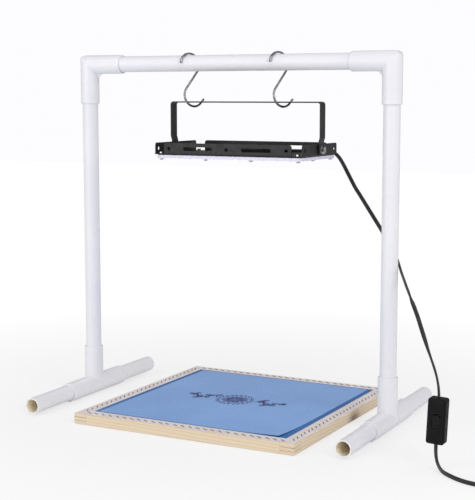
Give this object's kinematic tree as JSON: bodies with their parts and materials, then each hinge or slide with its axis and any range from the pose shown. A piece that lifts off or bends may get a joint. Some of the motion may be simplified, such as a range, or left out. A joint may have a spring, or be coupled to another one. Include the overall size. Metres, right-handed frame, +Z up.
{
  "type": "screen printing exposure unit",
  "caption": "Ultraviolet LED lamp on a bracket and S-hooks under a white pipe stand, over a framed screen with film, with an inline rocker switch on its cord.",
  "frame": {"origin": "on the floor, midway between the two uprights", "axes": "+X to the right along the crossbar, +Y to the back along the feet, +Z up"},
  "size_m": [0.826, 0.4054, 0.5619],
  "materials": {
    "white_pvc": "smooth moulded, slightly satin",
    "hook_wire": "bright plated wire",
    "black_enamel": "satin black enamel on steel sheet",
    "black_plastic": "fine matt grain",
    "black_rubber": "matt",
    "board": "white solder mask",
    "led": "small domes",
    "clear_lens": "clear moulded",
    "zinc_steel": "zinc plated",
    "pine": "planed and sanded, unvarnished",
    "mesh": "fine white polyester mesh",
    "emulsion": "dried photo emulsion",
    "film": "clear film over the coating",
    "cord_black": "satin soft jacket",
    "pin_metal": "plated"
  },
  "bodies": {
    "stand": {"crossbar": "white_pvc", "left_upright": "white_pvc", "right_upright": "white_pvc", "left_elbow": "white_pvc", "right_elbow": "white_pvc", "left_tee": "white_pvc", "right_tee": "white_pvc", "left_front_foot": "white_pvc", "left_rear_foot": "white_pvc", "right_front_foot": "white_pvc", "right_rear_foot": "white_pvc", "switch_base": "black_plastic", "switch_cover": "black_plastic", "switch_screws": "zinc_steel", "lamp_lead": "cord_black", "floor_lead": "cord_black", "cord_coil": "cord_black", "coil_tie": "black_plastic", "plug_tail": "cord_black", "plug_body": "cord_black", "plug_pins": "pin_metal"},
    "hooks": {"left_s_hook": "hook_wire", "right_s_hook": "hook_wire"},
    "bracket": {"bracket": "black_enamel"},
    "lamp": {"lamp_tray": "black_enamel", "driver_cover": "black_plastic", "cable_gland": "black_rubber", "led_board": "board", "led_chips": "led", "lens_gasket": "black_rubber", "lens_plate": "clear_lens", "lens_screws": "zinc_steel", "lens_nuts": "zinc_steel", "pivot_bolts": "zinc_steel", "pivot_washers": "zinc_steel", "pivot_nuts": "zinc_steel"},
    "screen": {"front_rail": "pine", "rear_rail": "pine", "left_rail": "pine", "right_rail": "pine", "screen_mesh": "mesh", "mesh_staples": "zinc_steel", "emulsion": "emulsion"},
    "film": {"film": "film"},
    "rocker": {"switch_rocker": "black_plastic"}
  },
  "joints": [
    {"name": "hook_swing", "type": "hinge", "parent": "stand", "child": "hooks", "pos_m": [0, 0, 0.545], "axis": [1, 0, 0], "range_deg": [-15, 15], "deforming": ["lamp_lead"]},
    {"name": "bracket_swing", "type": "hinge", "parent": "hooks", "child": "bracket", "pos_m": [0, 0, 0.49265], "axis": [1, 0, 0], "range_deg": [-12, 12], "deforming": ["lamp_lead"]},
    {"name": "lamp_tilt", "type": "hinge", "parent": "bracket", "child": "lamp", "pos_m": [0, 0, 0.41445], "axis": [1, 0, 0], "range_deg": [-55, 55], "deforming": ["lamp_lead"]},
    {"name": "screen_slide", "type": "slide", "parent": "stand", "child": "screen", "axis": [0, -1, 0], "range_m": [0, 0.4]},
    {"name": "film_lift", "type": "slide", "parent": "screen", "child": "film", "axis": [0, 0, 1], "range_m": [0, 0.15]},
    {"name": "switch_rock", "type": "hinge", "parent": "stand", "child": "rocker", "pos_m": [0.38413, -0.1515, 0.06303], "axis": [0.999, 0, -0.0436], "range_deg": [-14, 0]}
  ]
}
